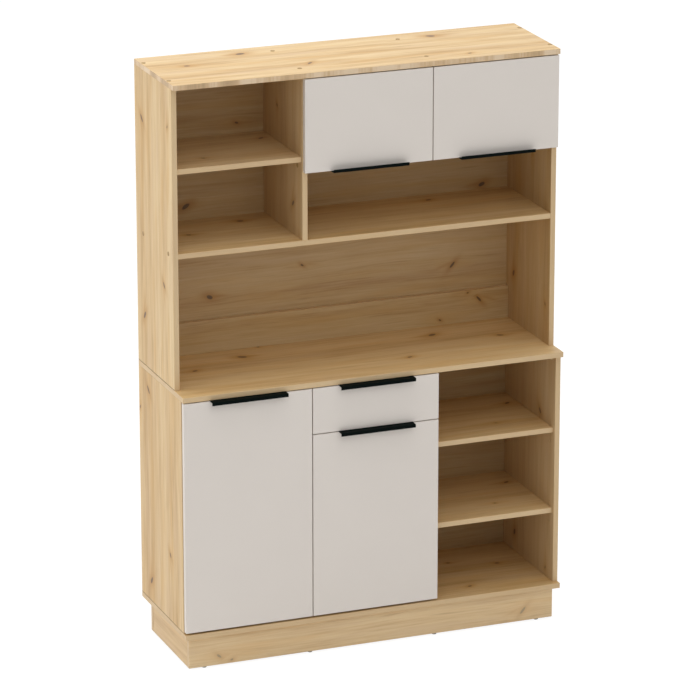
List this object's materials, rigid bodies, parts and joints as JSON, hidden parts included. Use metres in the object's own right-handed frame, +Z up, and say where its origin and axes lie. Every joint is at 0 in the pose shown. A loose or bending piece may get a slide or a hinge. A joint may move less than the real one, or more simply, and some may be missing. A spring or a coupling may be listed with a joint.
{
  "type": "kitchen dresser cabinet",
  "caption": "Tall kitchen dresser with oak-look boards: base with doors, drawer and open shelves, set-back hutch with niches and lift-up flaps, pale fronts with black edge pulls.",
  "frame": {"origin": "centre of the bounding box on the floor, under the glides", "axes": "+X to the right as seen from the front, +Y from the fronts to the back, +Z up"},
  "size_m": [1.2016, 0.4214, 1.7688],
  "materials": {
    "oak_board": "satin laminate with a light oak print",
    "printed_back": "thin fibreboard with a printed oak face",
    "greige_front": "matt pale greige laminate",
    "black_handle": "matt black anodised sheet",
    "drawer_board": "pale laminate",
    "drawer_base": "lacquered fibreboard",
    "zinc_slide": "zinc plated",
    "nickel_hinge": "nickel plated",
    "zinc_bracket": "zinc plated",
    "black_tube": "satin black paint",
    "polished_rod": "hard chrome",
    "grey_glide": "moulded",
    "tan_cap": "moulded",
    "brown_block": "moulded"
  },
  "bodies": {
    "carcass": {"worktop": "oak_board", "base_left_side": "oak_board", "base_right_side": "oak_board", "base_divider_left": "oak_board", "base_divider_right": "oak_board", "base_bottom": "oak_board", "left_cupboard_shelf": "oak_board", "middle_cupboard_shelf": "oak_board", "open_shelf_upper": "oak_board", "open_shelf_lower": "oak_board", "plinth_front": "oak_board", "plinth_back": "oak_board", "plinth_left": "oak_board", "plinth_right": "oak_board", "plinth_stretchers": "oak_board", "hutch_top": "oak_board", "hutch_left_side": "oak_board", "hutch_right_side": "oak_board", "hutch_long_shelf": "oak_board", "hutch_divider": "oak_board", "flap_partition": "oak_board", "flap_floor": "oak_board", "hutch_left_shelf": "oak_board", "hutch_back_rail": "oak_board", "base_back": "printed_back", "hutch_back": "printed_back", "slide_outer_members": "zinc_slide", "door_hinge_arms": "nickel_hinge", "flap_hinge_arms": "nickel_hinge", "strut_side_brackets": "zinc_bracket", "carcass_screws": "zinc_bracket", "shelf_pins": "zinc_bracket", "feet": "grey_glide", "screw_caps": "tan_cap", "corner_blocks": "brown_block"},
    "left_door": {"left_door": "greige_front", "left_door_handle": "black_handle", "left_door_hinge_cups": "nickel_hinge"},
    "middle_door": {"middle_door": "greige_front", "middle_door_handle": "black_handle", "middle_door_hinge_cups": "nickel_hinge"},
    "drawer": {"drawer_front": "greige_front", "drawer_handle": "black_handle", "drawer_sides": "drawer_board", "drawer_back_board": "drawer_board", "drawer_bottom": "drawer_base", "slide_inner_members": "zinc_slide"},
    "slide_middle": {"slide_middle_members": "zinc_slide"},
    "flap_left": {"flap_left": "greige_front", "flap_left_handle": "black_handle", "flap_left_hinge_cups": "nickel_hinge", "flap_left_strut_bracket": "zinc_bracket"},
    "flap_right": {"flap_right": "greige_front", "flap_right_handle": "black_handle", "flap_right_hinge_cups": "nickel_hinge", "flap_right_strut_bracket": "zinc_bracket"},
    "strut_left_tube": {"strut_left_tube": "black_tube"},
    "strut_left_rod": {"strut_left_rod": "polished_rod"},
    "strut_right_tube": {"strut_right_tube": "black_tube"},
    "strut_right_rod": {"strut_right_rod": "polished_rod"}
  },
  "joints": [
    {"name": "left_door_hinge", "type": "hinge", "parent": "carcass", "child": "left_door", "pos_m": [-0.5915, -0.18225, 0.478], "axis": [0, 0, -1], "range_deg": [0, 100]},
    {"name": "middle_door_hinge", "type": "hinge", "parent": "carcass", "child": "middle_door", "pos_m": [0.1915, -0.18225, 0.406], "axis": [0, 0, 1], "range_deg": [0, 100]},
    {"name": "drawer_slide", "type": "slide", "parent": "carcass", "child": "drawer", "axis": [0, -1, 0], "range_m": [0, 0.33]},
    {"name": "slide_middle_travel", "type": "slide", "parent": "carcass", "child": "slide_middle", "axis": [0, -1, 0], "range_m": [0, 0.165]},
    {"name": "flap_left_lift", "type": "hinge", "parent": "carcass", "child": "flap_left", "pos_m": [-0.0017, -0.12825, 1.7418], "axis": [-1, 0, 0], "range_deg": [0, 90]},
    {"name": "strut_left_swing", "type": "hinge", "parent": "carcass", "child": "strut_left_tube", "pos_m": [-0.172, 0.01019, 1.721], "axis": [-1, 0, 0], "range_deg": [0, 45]},
    {"name": "strut_left_rod_turn", "type": "hinge", "parent": "flap_left", "child": "strut_left_rod", "pos_m": [-0.172, -0.10525, 1.6037], "axis": [-1, 0, 0], "range_deg": [-45, 0]},
    {"name": "flap_right_lift", "type": "hinge", "parent": "carcass", "child": "flap_right", "pos_m": [0.3983, -0.12825, 1.7418], "axis": [-1, 0, 0], "range_deg": [0, 90]},
    {"name": "strut_right_swing", "type": "hinge", "parent": "carcass", "child": "strut_right_tube", "pos_m": [0.57, 0.01019, 1.721], "axis": [-1, 0, 0], "range_deg": [0, 45]},
    {"name": "strut_right_rod_turn", "type": "hinge", "parent": "flap_right", "child": "strut_right_rod", "pos_m": [0.57, -0.10525, 1.6037], "axis": [-1, 0, 0], "range_deg": [-45, 0]}
  ],
  "couplings": [
    {"joint": "slide_middle_travel", "follows": "drawer_slide", "ratio": 0.5},
    {"joint": "strut_left_swing", "follows": "flap_left_lift", "ratio": 0.5},
    {"joint": "strut_left_rod_turn", "follows": "flap_left_lift", "ratio": -0.5},
    {"joint": "strut_right_swing", "follows": "flap_right_lift", "ratio": 0.5},
    {"joint": "strut_right_rod_turn", "follows": "flap_right_lift", "ratio": -0.5}
  ]
}
